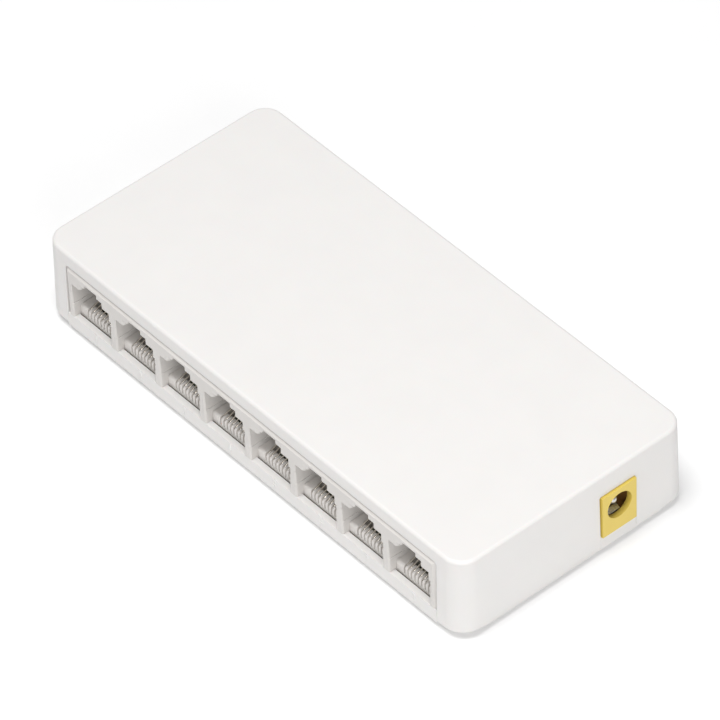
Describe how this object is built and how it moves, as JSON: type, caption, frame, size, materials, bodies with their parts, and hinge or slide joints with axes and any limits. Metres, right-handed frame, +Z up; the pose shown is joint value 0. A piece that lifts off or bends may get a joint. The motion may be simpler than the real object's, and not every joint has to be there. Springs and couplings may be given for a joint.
{
  "type": "desktop network switch",
  "caption": "Flat white plastic box with rounded upright corners, a row of network sockets along one long side and a yellow power jack in one short side.",
  "frame": {"origin": "middle of the footprint, on the surface the rubber feet stand on", "axes": "+X towards the short side with the power jack, -Y towards the side with the sockets, +Z up"},
  "size_m": [0.1285, 0.0604, 0.0212],
  "materials": {
    "case_white": "fine satin moulded texture",
    "socket_plastic": "satin",
    "jack_yellow": "satin",
    "contact_metal": "bright plated",
    "tinned_metal": "bright",
    "board_green": "solder-mask gloss",
    "chip_black": "matte moulded",
    "can_aluminium": "drawn can",
    "ferrite_grey": "sintered",
    "ceramic_tan": "fired ceramic",
    "fuse_green": "satin",
    "lamp_clear": "clear moulding",
    "foot_rubber": "matte"
  },
  "bodies": {
    "case": {"top_cover": "case_white", "bottom_cover": "case_white", "circuit_board": "board_green", "port_housing": "socket_plastic", "contact_carriers": "socket_plastic", "contact_leads": "contact_metal", "jack_housing": "jack_yellow", "jack_center_pin": "tinned_metal", "jack_pin_terminal": "tinned_metal", "jack_leaf_terminal": "tinned_metal", "jack_switch_terminal": "tinned_metal", "switch_chip": "chip_black", "switch_chip_leads": "tinned_metal", "transformer_1": "chip_black", "transformer_2": "chip_black", "transformer_3": "chip_black", "transformer_4": "chip_black", "transformer_pins": "tinned_metal", "crystal": "tinned_metal", "input_capacitor": "can_aluminium", "output_capacitor": "can_aluminium", "power_inductor": "ferrite_grey", "regulator_chip": "chip_black", "memory_chip": "chip_black", "chip_resistors": "chip_black", "chip_capacitors": "ceramic_tan", "input_diode": "chip_black", "input_fuse": "fuse_green", "status_lamps": "lamp_clear", "case_screws": "tinned_metal", "rubber_foot_1": "foot_rubber", "rubber_foot_2": "foot_rubber", "rubber_foot_3": "foot_rubber", "rubber_foot_4": "foot_rubber"},
    "contacts_1": {"contact_springs_1": "contact_metal"},
    "contacts_2": {"contact_springs_2": "contact_metal"},
    "contacts_3": {"contact_springs_3": "contact_metal"},
    "contacts_4": {"contact_springs_4": "contact_metal"},
    "contacts_5": {"contact_springs_5": "contact_metal"},
    "contacts_6": {"contact_springs_6": "contact_metal"},
    "contacts_7": {"contact_springs_7": "contact_metal"},
    "contacts_8": {"contact_springs_8": "contact_metal"},
    "jack_leaf": {"jack_leaf_spring": "tinned_metal"}
  },
  "joints": [
    {"name": "socket_1_contacts_flex", "type": "hinge", "parent": "case", "child": "contacts_1", "pos_m": [-0.0489, -0.02744, 0.00687], "axis": [-1, 0, 0], "range_deg": [0, 12], "stiffness_Nm_per_rad": 0.02},
    {"name": "socket_2_contacts_flex", "type": "hinge", "parent": "case", "child": "contacts_2", "pos_m": [-0.03492, -0.02744, 0.00687], "axis": [-1, 0, 0], "range_deg": [0, 12], "stiffness_Nm_per_rad": 0.02},
    {"name": "socket_3_contacts_flex", "type": "hinge", "parent": "case", "child": "contacts_3", "pos_m": [-0.02096, -0.02744, 0.00687], "axis": [-1, 0, 0], "range_deg": [0, 12], "stiffness_Nm_per_rad": 0.02},
    {"name": "socket_4_contacts_flex", "type": "hinge", "parent": "case", "child": "contacts_4", "pos_m": [-0.00698, -0.02744, 0.00687], "axis": [-1, 0, 0], "range_deg": [0, 12], "stiffness_Nm_per_rad": 0.02},
    {"name": "socket_5_contacts_flex", "type": "hinge", "parent": "case", "child": "contacts_5", "pos_m": [0.00698, -0.02744, 0.00687], "axis": [-1, 0, 0], "range_deg": [0, 12], "stiffness_Nm_per_rad": 0.02},
    {"name": "socket_6_contacts_flex", "type": "hinge", "parent": "case", "child": "contacts_6", "pos_m": [0.02096, -0.02744, 0.00687], "axis": [-1, 0, 0], "range_deg": [0, 12], "stiffness_Nm_per_rad": 0.02},
    {"name": "socket_7_contacts_flex", "type": "hinge", "parent": "case", "child": "contacts_7", "pos_m": [0.03492, -0.02744, 0.00687], "axis": [-1, 0, 0], "range_deg": [0, 12], "stiffness_Nm_per_rad": 0.02},
    {"name": "socket_8_contacts_flex", "type": "hinge", "parent": "case", "child": "contacts_8", "pos_m": [0.0489, -0.02744, 0.00687], "axis": [-1, 0, 0], "range_deg": [0, 12], "stiffness_Nm_per_rad": 0.02},
    {"name": "jack_leaf_flex", "type": "hinge", "parent": "case", "child": "jack_leaf", "pos_m": [0.05534, 0.01127, 0.00745], "axis": [0, 1, 0], "range_deg": [0, 5], "stiffness_Nm_per_rad": 0.02}
  ]
}
